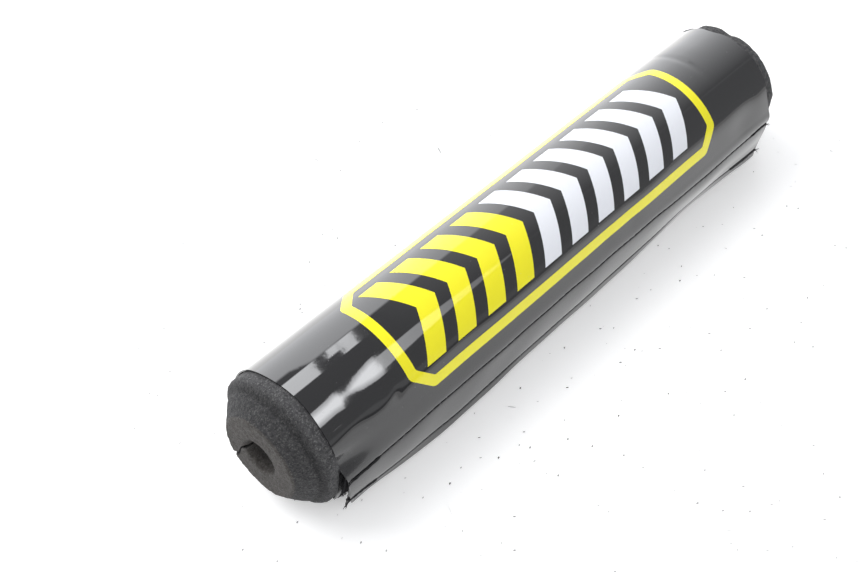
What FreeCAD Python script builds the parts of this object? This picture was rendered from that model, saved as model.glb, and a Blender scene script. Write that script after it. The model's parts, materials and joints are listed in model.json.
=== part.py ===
import FreeCAD, Part
import math
import os
from FreeCAD import Placement, Rotation, Vector

# A round foam pad that clips over the crossbar of a motorcycle handlebar.
# X runs along the bore, the closure faces -Y and the pad lies on its underside, so +Z is up.
# The origin is on the bore's axis, halfway along. Millimetres and degrees.
# Angles round the pad are counted from straight up towards the closure's side.

# The bar and the foam core
bar_diameter = 12.7
total_length = 254.0
bare_end = 12.0              # foam left bare past each edge of the cover
foam_radius = 23.8
end_face_radius = 14.9       # flat ring at the tip of each tapered end
end_taper = 8.3
shoulder_rounding = 3.0
face_rounding = 1.2
slit_width = 0.7
slit_turn = -35.0            # from the side away from the closure, down
press_depth = 1.7            # how far the closure presses a flat into the foam

# The cover sheet and its closure
sheet_thickness = 0.5
cover_clearance = 0.3        # all round, between the foam and the cover
corner_radius = 5.5          # where the under edge turns up from the underside
closure_angle = 95.0         # the way that the flat closure faces
flap_height = 2.5            # of the flap's free edge above the underside
flap_tail = 2.6              # flap below its tape
hinge_margin = 0.7           # flap above its tape, up to the line that it bends on
under_margin = 0.5           # under edge above its tape
tape_width = 19.5
tape_thickness = 1.2
tape_gap = 0.1               # between the faces of the hook tape and the loop tape

# Lockstitch seams, two along each tape
upper_seam_inset = 3.0       # from the tape's upper edge
lower_seam_inset = 1.2       # from the tape's lower edge
seam_end = 1.5               # from the cover's edge
stitch_pitch = 3.3
stitch_gap = 0.5
thread_width = 0.5
thread_depth = 0.2
groove_width = 0.7

# Ink printed on the cover, laid out on a plane that faces print_angle
ink_thickness = 0.08
print_angle = 17.5
print_length = 163.0
print_height = 41.4
border_width = 3.6
border_chamfer = 7.0
chevron_margin = 4.5         # between the border and the row of chevrons
chevron_band = 8.5
chevron_point = 9.0
chevron_edge = 3.0           # between the border and the chevrons' upper and lower ends
yellow_chevrons = 4
white_chevrons = 6

# Worked out from those
cover_length = total_length - 2 * bare_end
cover_inner = foam_radius + cover_clearance
cover_outer = cover_inner + sheet_thickness
foam_flat = foam_radius - press_depth
under_inner = foam_flat + cover_clearance
under_outer = under_inner + sheet_thickness
loop_outer = under_outer + tape_thickness
hook_inner = loop_outer + tape_gap
hook_outer = hook_inner + tape_thickness
flap_outer = hook_outer + sheet_thickness


def ring_point(radius, angle):
    """A point in the end view, at an angle from straight up towards the closure's side."""
    turn = math.radians(angle)
    return Vector(0, -radius * math.sin(turn), radius * math.cos(turn))


def closure_point(out, up):
    """A point in the end view, out from the bore's axis and up along the closure."""
    return ring_point(out, closure_angle) + ring_point(up, closure_angle - 90)


def closure_up(out, height):
    """How far up the closure a height lies, on the plane that is this far out."""
    level = ring_point(out, closure_angle)
    return (height - level.z) / ring_point(1, closure_angle - 90).z


flap_bottom = closure_up(flap_outer, flap_height - cover_outer)
tape_bottom = flap_bottom + flap_tail
tape_top = tape_bottom + tape_width
hinge_up = tape_top + hinge_margin
under_top = tape_top + under_margin
upper_seam = tape_top - upper_seam_inset
lower_seam = tape_bottom + lower_seam_inset


def arc_corner(before, corner, after, radius):
    """Where a fillet of this radius leaves one side, its middle, and where it joins the other."""
    back = (before - corner).normalize()
    onward = (after - corner).normalize()
    half = back.getAngle(onward) / 2
    reach = radius / math.tan(half)
    middle = (back + onward).normalize() * (radius / math.sin(half) - radius)
    return corner + back * reach, corner + middle, corner + onward * reach


def line(start, end):
    return Part.LineSegment(start, end).toShape()


def arc(start, middle, end):
    return Part.Arc(start, middle, end).toShape()


def lengthwise(edges, length):
    """The solid that a closed outline in the end view makes along X, centred on the origin."""
    face = Part.Face(Part.Wire(edges))
    face.translate(Vector(-length / 2, 0, 0))
    return face.extrude(Vector(length, 0, 0))


def closure_box(x0, x1, out0, out1, up0, up1):
    """A box whose sides lie along X, up the closure and out from it."""
    box = Part.makeBox(x1 - x0, up1 - up0, out1 - out0, Vector(x0, up0, out0))
    box.Placement = Placement(Vector(), Rotation(Vector(1, 0, 0), closure_angle))
    return box


def foam_core():
    half = total_length / 2
    bore = bar_diameter / 2
    tip = Vector(half, 0, end_face_radius)
    shoulder = Vector(half - end_taper, 0, foam_radius)
    hole_edge = Vector(half, 0, bore)
    middle = Vector(0, 0, foam_radius)
    tip_arc = arc_corner(hole_edge, tip, shoulder, face_rounding)
    shoulder_arc = arc_corner(tip, shoulder, middle, shoulder_rounding)
    edges = [
        line(Vector(0, 0, bore), hole_edge),
        line(hole_edge, tip_arc[0]),
        arc(*tip_arc),
        line(tip_arc[2], shoulder_arc[0]),
        arc(*shoulder_arc),
        line(shoulder_arc[2], middle),
        line(middle, Vector(0, 0, bore)),
    ]
    right = Part.Face(Part.Wire(edges)).revolve(Vector(), Vector(1, 0, 0), 360)
    left = right.mirror(Vector(), Vector(1, 0, 0))
    foam = right.fuse(left).removeSplitter()
    pressed = closure_box(-half, half, foam_flat, foam_radius + 1, -foam_radius, foam_radius)
    slit = Part.makeBox(total_length, foam_radius + 1, slit_width, Vector(-half, 0, -slit_width / 2))
    slit.rotate(Vector(), Vector(1, 0, 0), slit_turn)
    return foam.cut(pressed).cut(slit)


def ramp():
    """Where the cover leaves its round to run over the closure, as an angle, and its direction."""
    bend = closure_point(flap_outer, hinge_up)
    reach = bend.Length
    bend_angle = closure_angle - math.degrees(math.atan2(hinge_up, flap_outer))
    leave_angle = bend_angle - math.degrees(math.acos(cover_outer / reach))
    along = (bend - ring_point(cover_outer, leave_angle)).normalize()
    return leave_angle, bend, along


def inner_bend():
    """The inner corner of the cover at the line that the flap bends on."""
    leave_angle, bend, along = ramp()
    start = ring_point(cover_inner, leave_angle)
    up_axis = ring_point(1, closure_angle - 90)
    travel = (hinge_up - start.dot(up_axis)) / along.dot(up_axis)
    return start + along * travel


def cover_sheet():
    leave_angle, bend, along = ramp()
    half_turn = (leave_angle - 180) / 2
    outer_corner = closure_point(under_outer, closure_up(under_outer, -cover_outer))
    inner_corner = closure_point(under_inner, closure_up(under_inner, -cover_inner))
    outer_bottom = ring_point(cover_outer, 180)
    inner_bottom = ring_point(cover_inner, 180)
    outer_top = closure_point(under_outer, under_top)
    inner_top = closure_point(under_inner, under_top)
    outer_fold = arc_corner(outer_bottom, outer_corner, outer_top, corner_radius)
    inner_fold = arc_corner(inner_top, inner_corner, inner_bottom, corner_radius - sheet_thickness)
    outer_leave = ring_point(cover_outer, leave_angle)
    inner_leave = ring_point(cover_inner, leave_angle)
    edges = [
        line(bend, outer_leave),
        arc(outer_leave, ring_point(cover_outer, half_turn), outer_bottom),
        line(outer_bottom, outer_fold[0]),
        arc(*outer_fold),
        line(outer_fold[2], outer_top),
        line(outer_top, inner_top),
        line(inner_top, inner_fold[0]),
        arc(*inner_fold),
        line(inner_fold[2], inner_bottom),
        arc(inner_bottom, ring_point(cover_inner, half_turn), inner_leave),
        line(inner_leave, inner_bend()),
        line(inner_bend(), bend),
    ]
    sheet = lengthwise(edges, cover_length)
    return sheet.cut(grooves(under_inner, under_inner + thread_depth))


def tape(inner, outer):
    half = cover_length / 2
    return closure_box(-half, half, inner, outer, tape_bottom, tape_top)


def closing_flap():
    half = cover_length / 2
    flap = closure_box(-half, half, hook_outer, flap_outer, flap_bottom, hinge_up)
    return flap.cut(grooves(flap_outer - thread_depth, flap_outer))


def grooves(out0, out1):
    """The two shallow grooves that the seams draw into a face between these levels."""
    half = cover_length / 2
    side = groove_width / 2
    rows = [
        closure_box(-half, half, out0, out1, row - side, row + side)
        for row in (upper_seam, lower_seam)
    ]
    return Part.makeCompound(rows)


def seam_thread(out0, out1, row):
    """The stitches of one seam on one face, each lying in the seam's groove."""
    run = cover_length - 2 * seam_end
    count = int((run + stitch_gap) / stitch_pitch)
    first = -(count * stitch_pitch - stitch_gap) / 2
    side = thread_width / 2
    stitches = []
    for number in range(count):
        x0 = first + number * stitch_pitch
        x1 = x0 + stitch_pitch - stitch_gap
        stitches.append(closure_box(x0, x1, out0, out1, row - side, row + side))
    return Part.makeCompound(stitches)


def ink_film():
    """A thin film over the part of the cover's outside that the print faces."""
    leave_angle, bend, along = ramp()
    outward = ring_point(1, leave_angle)
    start_angle = print_angle - 90
    film_radius = cover_outer + ink_thickness
    middle_angle = (start_angle + leave_angle) / 2
    edges = [
        arc(
            ring_point(cover_outer, start_angle),
            ring_point(cover_outer, middle_angle),
            ring_point(cover_outer, leave_angle),
        ),
        line(ring_point(cover_outer, leave_angle), bend),
        line(bend, bend + outward * ink_thickness),
        line(bend + outward * ink_thickness, ring_point(film_radius, leave_angle)),
        arc(
            ring_point(film_radius, leave_angle),
            ring_point(film_radius, middle_angle),
            ring_point(film_radius, start_angle),
        ),
        line(ring_point(film_radius, start_angle), ring_point(cover_outer, start_angle)),
    ]
    return lengthwise(edges, cover_length)


def stamp(corners):
    """The block that a flat outline on the print's plane makes through the cover's outside."""
    points = [Vector(x, y, 0) for x, y in corners]
    outline = Part.makePolygon(points + points[:1])
    block = Part.Face(outline).extrude(Vector(0, 0, 2 * cover_outer))
    block.rotate(Vector(), Vector(1, 0, 0), print_angle)
    return block


def chamfered_frame(half_length, half_height, chamfer):
    return [
        (-half_length, -half_height + chamfer),
        (-half_length + chamfer, -half_height),
        (half_length - chamfer, -half_height),
        (half_length, -half_height + chamfer),
        (half_length, half_height - chamfer),
        (half_length - chamfer, half_height),
        (-half_length + chamfer, half_height),
        (-half_length, half_height - chamfer),
    ]


def edge_width():
    """The border's width at its long sides, as the slope of the cover there foreshortens it."""
    return border_width * math.sqrt(1 - (print_height / 2 / cover_outer) ** 2)


def print_border():
    half_length = print_length / 2
    half_height = print_height / 2
    inner_chamfer = border_chamfer - border_width / 2
    outer = stamp(chamfered_frame(half_length, half_height, border_chamfer))
    inner = stamp(
        chamfered_frame(half_length - border_width, half_height - edge_width(), inner_chamfer)
    )
    return ink_film().common(outer.cut(inner))


def chevron(x):
    tall = print_height / 2 - edge_width() - chevron_edge
    return stamp([
        (x, -tall),
        (x + chevron_band, -tall),
        (x + chevron_band + chevron_point, 0),
        (x + chevron_band, tall),
        (x, tall),
        (x + chevron_point, 0),
    ])


def chevron_row(first, count):
    """Some of the row of chevrons, as ink on the cover."""
    row_length = print_length - 2 * (border_width + chevron_margin)
    gaps = yellow_chevrons + white_chevrons - 1
    pitch = (row_length - chevron_band - chevron_point) / gaps
    film = ink_film()
    inked = [
        film.common(chevron(-row_length / 2 + number * pitch))
        for number in range(first, first + count)
    ]
    return Part.makeCompound(inked)


def seam_nodes():
    """Each seam's needle thread, on the tape's or flap's outer face, and its bobbin thread."""
    faces = {
        "flap_needle_thread": (flap_outer - thread_depth, flap_outer),
        "flap_bobbin_thread": (hook_inner, hook_inner + thread_depth),
        "loop_needle_thread": (loop_outer - thread_depth, loop_outer),
        "loop_bobbin_thread": (under_inner, under_inner + thread_depth),
    }
    nodes = {}
    for name, (out0, out1) in faces.items():
        nodes[name + "_upper"] = seam_thread(out0, out1, upper_seam)
        nodes[name + "_lower"] = seam_thread(out0, out1, lower_seam)
    return nodes


def model():
    nodes = {
        "foam_core": foam_core(),
        "cover_sheet": cover_sheet(),
        "closing_flap": closing_flap(),
        "loop_tape": tape(under_outer, loop_outer).cut(
            grooves(loop_outer - thread_depth, loop_outer)
        ),
        "hook_tape": tape(hook_inner, hook_outer).cut(
            grooves(hook_inner, hook_inner + thread_depth)
        ),
        "print_border": print_border(),
        "print_yellow_chevrons": chevron_row(0, yellow_chevrons),
        "print_white_chevrons": chevron_row(yellow_chevrons, white_chevrons),
    }
    nodes.update(seam_nodes())
    return nodes


os.makedirs("parts", exist_ok=True)
for name, shape in model().items():
    shape.exportStep("parts/" + name + ".step")
    print(name, len(shape.Solids), round(shape.Volume, 1), shape.isValid())
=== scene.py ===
import functools
import json
import math
import random

import bpy
import numpy as np
from mathutils import Matrix, Vector, noise


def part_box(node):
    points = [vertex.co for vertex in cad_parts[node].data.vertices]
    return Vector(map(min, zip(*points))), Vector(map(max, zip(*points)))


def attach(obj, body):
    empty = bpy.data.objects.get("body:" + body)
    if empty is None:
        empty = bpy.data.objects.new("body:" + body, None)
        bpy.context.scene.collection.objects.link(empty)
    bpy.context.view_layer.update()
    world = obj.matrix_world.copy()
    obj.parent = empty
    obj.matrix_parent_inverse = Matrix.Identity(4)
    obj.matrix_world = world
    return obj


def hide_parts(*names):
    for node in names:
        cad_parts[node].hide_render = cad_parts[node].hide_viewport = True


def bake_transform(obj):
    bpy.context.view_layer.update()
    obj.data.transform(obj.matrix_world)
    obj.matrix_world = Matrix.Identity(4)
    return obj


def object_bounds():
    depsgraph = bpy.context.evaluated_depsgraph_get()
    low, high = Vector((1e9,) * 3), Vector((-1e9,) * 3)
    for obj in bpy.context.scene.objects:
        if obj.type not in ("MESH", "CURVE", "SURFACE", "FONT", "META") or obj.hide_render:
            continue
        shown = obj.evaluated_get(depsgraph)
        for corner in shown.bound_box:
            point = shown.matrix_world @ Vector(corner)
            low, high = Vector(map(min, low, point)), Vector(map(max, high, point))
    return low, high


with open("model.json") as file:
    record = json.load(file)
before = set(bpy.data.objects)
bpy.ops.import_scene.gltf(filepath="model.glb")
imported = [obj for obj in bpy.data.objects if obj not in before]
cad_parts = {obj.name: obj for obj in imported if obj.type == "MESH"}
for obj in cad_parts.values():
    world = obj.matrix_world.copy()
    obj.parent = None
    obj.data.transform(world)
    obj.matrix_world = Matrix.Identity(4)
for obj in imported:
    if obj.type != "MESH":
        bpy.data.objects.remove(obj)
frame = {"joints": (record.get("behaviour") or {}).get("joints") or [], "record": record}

CAD_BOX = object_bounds()

# ---- sizes, in millimetres
# Some lengths and places come from the imported parts and frame: the foam's and the cover's half
# lengths and radii, the bore's radius and the hinge. The others are given here, and thicknesses
# repeat the part's own.
MM = 0.001


def box_mm(node):
    low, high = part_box(node)
    return np.array(low) / MM, np.array(high) / MM


_, FOAM_HIGH = box_mm("foam_core")
COVER_LOW, COVER_HIGH = box_mm("cover_sheet")
HALF_FOAM = FOAM_HIGH[0]
FOAM_RADIUS = FOAM_HIGH[2]
HALF_COVER = COVER_HIGH[0]
COVER_RADIUS = -COVER_LOW[2]
SHEET = 0.5
TAPE_WIDTH = 19.5
SEAM_INSETS = (3.0, 1.2)     # of the upper and the lower seam, from the tape's edges
FLAP_TAIL = 2.6              # from the tape's lower edge to the flap's free edge
FOLD_RADIUS = 5.5            # where the under edge turns up from the underside
BEND_RADIUS = 9.0            # where the cover turns down into the closing flap
CLOSURE_ANGLE = 95.0         # from straight up to the way that the closure faces, in degrees
HINGE_MARGIN = 0.7           # from the flap's hinge down to the tapes
UNDER_MARGIN = 0.5           # of the under edge above the tapes
BORE_RADIUS = frame["record"]["mounts"][0]["dims"]["r_mm"]
FACE_RADIUS = 14.9
END_TAPER = 8.3
PRESS_DEPTH = 1.7            # of the flat that the closure presses into the foam
CLEARANCE = 0.3              # between the foam and the cover at that flat
SLIT_WIDTH = 0.7
SLIT_TURN = -125.0           # of the slit round the bore, counted as the closure's angle is
HINGE = np.array(frame["joints"][1]["pos_m"][1:]) / MM


def ring(radius, degrees):
    """A point of the end view, (y, z), at an angle from straight up towards the closure."""
    turn = math.radians(degrees)
    return np.array([-radius * math.sin(turn), radius * math.cos(turn)])


OUTWARD = ring(1, CLOSURE_ANGLE)
UPWARD = ring(1, CLOSURE_ANGLE - 90)
FLAP_OUT = HINGE @ OUTWARD
HINGE_UP = HINGE @ UPWARD
TAPE_TOP = HINGE_UP - HINGE_MARGIN
FLAP_BOTTOM = TAPE_TOP - TAPE_WIDTH - FLAP_TAIL
UNDER_OUT = FOAM_RADIUS - PRESS_DEPTH + CLEARANCE + SHEET
UNDER_TOP = TAPE_TOP + UNDER_MARGIN
SEAM_UPS = (TAPE_TOP - SEAM_INSETS[0], TAPE_TOP - TAPE_WIDTH + SEAM_INSETS[1])


def closure(out, up):
    """A point of the end view, out from the bore's axis and up along the closure."""
    return OUTWARD * out + UPWARD * up


def smoothstep(x, low, high):
    """0 up to low and 1 from high on, with an eased rise between them."""
    t = np.clip((np.asarray(x, float) - low) / (high - low), 0, 1)
    return t * t * (3 - 2 * t)


def bell(x, centre, width):
    """1 at the centre, falling off to both sides."""
    return np.exp(-(((x - centre) / width) ** 2))


# ---- the cover's section
PATH_STEP = 0.1


def straight(a, b):
    count = max(2, int(np.linalg.norm(b - a) / PATH_STEP))
    return [a + (b - a) * t for t in np.linspace(0, 1, count, endpoint=False)]


def turned(radius, start, end):
    count = max(2, int(abs(math.radians(end - start)) * radius / PATH_STEP))
    return [ring(radius, a) for a in np.linspace(start, end, count, endpoint=False)]


def rounded(before, corner, after, radius):
    """Points of an arc that rounds a corner, from the side before it to the side after it."""
    back = (before - corner) / np.linalg.norm(before - corner)
    onward = (after - corner) / np.linalg.norm(after - corner)
    half = math.acos(np.clip(back @ onward, -1, 1)) / 2
    middle = (back + onward) / np.linalg.norm(back + onward)
    centre = corner + middle * radius / math.sin(half)
    first = corner + back * radius / math.tan(half) - centre
    last = corner + onward * radius / math.tan(half) - centre
    sweep = math.pi - 2 * half
    count = max(3, int(sweep * radius / PATH_STEP))
    points = []
    for t in np.linspace(0, 1, count):
        mixed = first * math.sin((1 - t) * sweep) + last * math.sin(t * sweep)
        points.append(centre + mixed / math.sin(sweep))
    return points


def cover_path():
    """The outer face of the cover in the end view: from the top of the under edge down it, along
    the underside, round the back and the top, and down the closing flap."""
    reach = math.hypot(*HINGE)
    hinge_angle = CLOSURE_ANGLE - math.degrees(math.atan2(HINGE_UP, FLAP_OUT))
    leave = hinge_angle - math.degrees(math.acos(COVER_RADIUS / reach))
    underside = np.array([0.0, -COVER_RADIUS])
    corner_up = (-COVER_RADIUS - OUTWARD[1] * UNDER_OUT) / UPWARD[1]
    corner = closure(UNDER_OUT, corner_up)
    flap_end = closure(FLAP_OUT, FLAP_BOTTOM)
    fold = rounded(closure(UNDER_OUT, UNDER_TOP), corner, underside, FOLD_RADIUS)
    bend = rounded(ring(COVER_RADIUS, leave), HINGE, flap_end, BEND_RADIUS)
    points = straight(closure(UNDER_OUT, UNDER_TOP), fold[0]) + fold
    points += straight(fold[-1], underside)[1:]
    points += turned(COVER_RADIUS, -180, leave)
    points += straight(ring(COVER_RADIUS, leave), bend[0]) + bend
    points += straight(bend[-1], flap_end)[1:] + [flap_end]
    return np.array(points)


def resample(points, step):
    run = np.concatenate([[0], np.cumsum(np.linalg.norm(np.diff(points, axis=0), axis=1))])
    marks = np.linspace(0, run[-1], int(run[-1] / step) + 1)
    return np.stack([np.interp(marks, run, points[:, k]) for k in (0, 1)], 1), marks


def softened(points, step, width):
    """The path with its corners eased, as a soft sheet bends. Its two ends stay in place."""
    reach = int(4 * width / step)
    kernel = np.exp(-0.5 * (np.arange(-reach, reach + 1) * step / width) ** 2)
    kernel /= kernel.sum()
    head = points[0] - (points[1] - points[0]) * np.arange(reach, 0, -1)[:, None]
    tail = points[-1] + (points[-1] - points[-2]) * np.arange(1, reach + 1)[:, None]
    padded = np.concatenate([head, points, tail])
    return np.stack([np.convolve(padded[:, k], kernel, "valid") for k in (0, 1)], 1)


CORNER_EASE = 1.0
PATH, _ = resample(cover_path(), PATH_STEP)
PATH, RUN = resample(softened(PATH, PATH_STEP, CORNER_EASE), PATH_STEP)
TANGENT = np.gradient(PATH, PATH_STEP, axis=0)
TANGENT /= np.linalg.norm(TANGENT, axis=1)[:, None]
# Along the path, s counts from the top of the pad: up to it from the under edge is negative.
TOP_INDEX = int(np.argmax(PATH[:, 1]))
RUN = RUN - RUN[TOP_INDEX]
S_UNDER, S_FLAP = RUN[0], RUN[-1]


def section(s):
    """Points of the outer face at s, and the way that they face, in the end view."""
    y = np.interp(s, RUN, PATH[:, 0])
    z = np.interp(s, RUN, PATH[:, 1])
    ty = np.interp(s, RUN, TANGENT[:, 0])
    tz = np.interp(s, RUN, TANGENT[:, 1])
    return y, z, tz, -ty


FRONT_FROM = 25              # in s: the flap, with the cover's front above it, lies past this
UNDER_EDGE_TO = -95          # and the under edge lies before this


def s_at_up(up, on_flap=True):
    """Where the flap, or else the under edge, is this far up the closure."""
    part = RUN > FRONT_FROM if on_flap else RUN < UNDER_EDGE_TO
    ups = PATH[part] @ UPWARD
    order = np.argsort(ups)
    return float(np.interp(up, ups[order], RUN[part][order]))


S_HINGE = s_at_up(HINGE_UP)
# The fold is the corner that reaches furthest down and forward, on the under edge's side.
S_FOLD = float(RUN[np.argmax((PATH @ (-UPWARD - [1, 0])) * (RUN < 0))])
S_SEAMS = tuple(s_at_up(up) for up in SEAM_UPS)
STITCH = 3.3                 # from one stitch hole to the next
SEAM_PHASE = 0.4             # how far the lower seam's waves and holes are out of step


# ---- how the soft sheet lies
# Dents and swellings of the cover: x, s, depth (minus is in), length along x, width along s.
DENTS = (
    (-90.0, 24.0, 0.12, 3.0, 2.2),
    (-87.0, 25.5, -0.14, 2.5, 2.5),
    (-106.0, 22.5, 0.16, 7.0, 2.2),
    (-118.0, 33.0, -2.6, 13.0, 4.3),
    (-113.0, 28.5, 0.12, 7.0, 3.0),
    (-60.0, 30.0, -0.10, 14.0, 5.0),
    (-30.0, 27.0, 0.08, 12.0, 5.0),
    (14.0, 33.0, -0.20, 7.0, 4.0),
    (28.0, 34.0, -0.18, 5.0, 4.0),
    (40.0, 29.0, 0.10, 10.0, 5.0),
    (62.0, 31.0, -0.12, 8.0, 5.0),
    (97.0, 33.0, -0.35, 7.0, 5.0),
    (110.0, 31.0, 0.20, 5.0, 6.0),
    (91.5, -4.0, -0.16, 1.6, 10.0),
    (99.0, -8.0, 0.10, 5.0, 7.0),
)


# How far the closure's free edge waves out (plus) or in (minus): x, way, length along x.
WAVES = ((-55, 0.9, 30), (-114, -1.2, 17), (72, -1.4, 26), (112, 0.5, 10))


def closure_sway(x, up):
    """How far the layers of the closure stand out of their plane: they hang free at the bottom."""
    below = np.clip((SEAM_UPS[0] - up) / 17.0, 0, 1.4) ** 1.8
    sway = sum(way * bell(x, centre, length) for centre, way, length in WAVES)
    lean = -0.05 * np.clip(SEAM_UPS[0] - up, 0, -SEAM_UPS[1])
    far_fullness = 0.4 * smoothstep(x, 15, 70) * smoothstep(up, -12, -4)
    return sway * below + lean + far_fullness


def lie(x, s):
    """How far the cover's outer face stands off its plain section, without seams."""
    y, z, _, _ = section(s)
    up = y * UPWARD[0] + z * UPWARD[1]
    on_closure = np.maximum(smoothstep(s, S_HINGE - 2, S_HINGE + 1), smoothstep(-s, 91, 106))
    off = on_closure * closure_sway(x, up)
    fold_pull = 1.2 + 3.6 * smoothstep(-x, 88, 116)
    off = off - fold_pull * bell(s, S_FOLD + 2, 6.5)
    for centre, middle, depth, length, width in DENTS:
        off = off + depth * bell(x, centre, length) * bell(s, middle, width)
    ripple = 0.035 * np.sin(x / 11.0 + 0.9) * np.sin(s / 7.0 + 0.4)
    ripple = ripple + 0.02 * np.sin(x / 4.3 + s / 6.0)
    away_from_top = smoothstep(np.abs(s - 7), 12, 24)
    return off + ripple * away_from_top


def seam_run(x, row):
    """Where along s the upper (0) or the lower (1) seam runs: by hand, so not quite straight."""
    phase = SEAM_PHASE * row
    if row == 0:
        slant = 0.9 * (smoothstep(x, 0, 90) - 1)
    else:
        slant = -0.7 - 0.8 * smoothstep(-x, 62, 112) - 1.3 * smoothstep(-x, 99, 110)
    wander = 0.2 * np.sin(x / 9.0 + phase * 5) + 0.12 * np.sin(x / 3.7 + phase)
    return S_SEAMS[row] + slant + wander


def stitched(x, s):
    """How the seams draw the sheet in, with a dip at each stitch hole, and it puffs between."""
    off = 0.0
    for row in (0, 1):
        path = seam_run(x, row)
        hole = np.cos(np.pi * x / STITCH + SEAM_PHASE * row) ** 8
        off = off - (0.42 + 0.18 * hole) * bell(s, path, 0.44 + 0.14 * hole)
        off = off - 0.10 * bell(s, path, 1.5)
    way = np.clip((s - S_SEAMS[0]) / (S_SEAMS[1] - S_SEAMS[0]), 0, 1)
    puff = 4 * way * (1 - way)
    return off + puff * (0.34 + 0.08 * np.sin(x / 5.1) + 0.12 * np.sin(x / 13.0 + 2))


def cover_point(x, s, rise=0.0, seams=True):
    """Points of the cover's outer face at (x, s), raised along the way that it faces."""
    y, z, ny, nz = section(s)
    off = lie(x, s) + rise
    if seams:
        off = off + stitched(x, s)
    return np.stack(np.broadcast_arrays(x, y + ny * off, z + nz * off), -1)


def cover_line(x, s, rise):
    """Points of a line on the cover, raised along the way that its plain section faces."""
    _, _, ny, nz = section(s)
    way = np.stack([np.zeros(len(s)), ny, nz], 1)
    return cover_point(x, s, seams=False) + way * np.broadcast_to(rise, len(s))[:, None]


def edge_pull(x, s):
    """The sheet's edges aren't straight: shifts along x near the ends, and along s on the tail."""
    far = smoothstep(x, 98, 115)
    along = far * bell(s, -12, 16) * (0.7 * np.sin(s / 2.4 + 0.4) - 0.4)
    along = along - far * (1.0 * smoothstep(s, 20, 32) + 1.0 * smoothstep(s, 38, 50))
    near = smoothstep(-x, 100, 115)
    along = along + near * (0.25 * np.sin(s / 5.0) + 2.2 * smoothstep(s, 34, 50))
    along = along + near * 2.6 * smoothstep(s, 49, 60)
    fold_back = 9.0 * bell(s, S_FOLD + 8, 9)
    along = along + smoothstep(-x, 70, 115) * fold_back
    tail = smoothstep(s, S_SEAMS[1] + 0.8, S_FLAP)
    across = 0.35 * np.sin(x / 13.0 + 1.0) + 0.18 * np.sin(x / 4.1) - 1.0
    across = across - 1.6 * bell(x, -99, 11)
    return along, across * tail


# ---- mesh helpers
def placed(name, data):
    """A new object in the scene."""
    obj = bpy.data.objects.new(name, data)
    bpy.context.scene.collection.objects.link(obj)
    return obj


def new_mesh(name, points, faces, look, crease=40):
    """A mesh object from points in millimetres, smooth except where it turns sharply."""
    mesh = bpy.data.meshes.new(name)
    mesh.from_pydata((np.asarray(points, float) * MM).tolist(), [], faces)
    mesh.validate()
    mesh.shade_smooth()
    mesh.set_sharp_from_angle(angle=math.radians(crease))
    mesh.materials.append(look)
    return placed(name, mesh)


def grid_faces(rows, columns, first=0, flip=False, round_rows=False):
    """Quads of a grid of points, which may close on itself from its last row to its first."""
    faces = []
    last = rows if round_rows else rows - 1
    for i in range(last):
        a = first + i * columns
        b = first + ((i + 1) % rows) * columns
        for j in range(columns - 1):
            quad = (a + j, b + j, b + j + 1, a + j + 1)
            faces.append(quad[::-1] if flip else quad)
    return faces


def walled(outer, inner):
    """Points and faces of two grids of one shape, walled round their edges."""
    rows, columns = outer.shape[:2]
    count = rows * columns
    points = np.concatenate([outer.reshape(-1, 3), inner.reshape(-1, 3)])
    faces = grid_faces(rows, columns) + grid_faces(rows, columns, count, flip=True)
    rim = [(i, 0) for i in range(rows)]
    rim += [(rows - 1, j) for j in range(1, columns)]
    rim += [(i, columns - 1) for i in range(rows - 2, -1, -1)]
    rim += [(0, j) for j in range(columns - 2, 0, -1)]
    numbers = [i * columns + j for i, j in rim]
    for a, b in zip(numbers, numbers[1:] + numbers[:1]):
        faces.append((b, a, a + count, b + count))
    return points, faces


def closed_sheet(name, outer, inner, look):
    return new_mesh(name, *walled(outer, inner), look)


def tube(points, radii, sides=6):
    """Points and faces of a tube round a line, closed at both ends."""
    points = np.asarray(points, float)
    radii = np.broadcast_to(radii, len(points))
    along = np.gradient(points, axis=0)
    along /= np.linalg.norm(along, axis=1)[:, None]
    side = np.cross(along, [0.05, 0.2, 1.0])
    side /= np.linalg.norm(side, axis=1)[:, None]
    over = np.cross(along, side)
    rings = []
    for k in range(sides):
        turn = 2 * math.pi * k / sides
        rings.append(points + (side * math.cos(turn) + over * math.sin(turn)) * radii[:, None])
    verts = np.stack(rings, 1).reshape(-1, 3)
    faces = []
    for i in range(len(points) - 1):
        for k in range(sides):
            a, b = i * sides + k, i * sides + (k + 1) % sides
            faces.append((a, a + sides, b + sides, b))
    faces.append(tuple(range(sides)))
    faces.append(tuple(range(len(verts) - 1, len(verts) - sides - 1, -1)))
    return verts, faces


def join_pieces(name, pieces, look):
    """One mesh object from several (points, faces) pieces."""
    points, faces, first = [], [], 0
    for verts, polygons in pieces:
        points.append(verts)
        faces += [tuple(first + v for v in polygon) for polygon in polygons]
        first += len(verts)
    return new_mesh(name, np.concatenate(points), faces, look, crease=60)


CLOSEST = 0.07


def stations(low, high, step, fine=()):
    """Positions from low to high, a step apart, and closer round each fine place."""
    values = [np.linspace(low, high, int((high - low) / step) + 1)]
    for centre, half, fine_step in fine:
        values.append(np.arange(centre - half, centre + half, fine_step))
    merged = np.sort(np.clip(np.concatenate(values), low, high))
    keep = [merged[0]]
    for value in merged[1:]:
        if value - keep[-1] > CLOSEST:
            keep.append(value)
    keep[-1] = high
    return np.array(keep)


# ---- materials
def material(name, colour, roughness, **sockets):
    """A material whose sockets are named as the shader's are, with _ for a space."""
    mat = bpy.data.materials.new(name)
    mat.use_nodes = True
    shader = mat.node_tree.nodes["Principled BSDF"]
    shader.inputs["Base Color"].default_value = (*colour, 1)
    shader.inputs["Roughness"].default_value = roughness
    for socket, value in sockets.items():
        shader.inputs[socket.replace("_", " ")].default_value = value
    return mat


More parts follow.
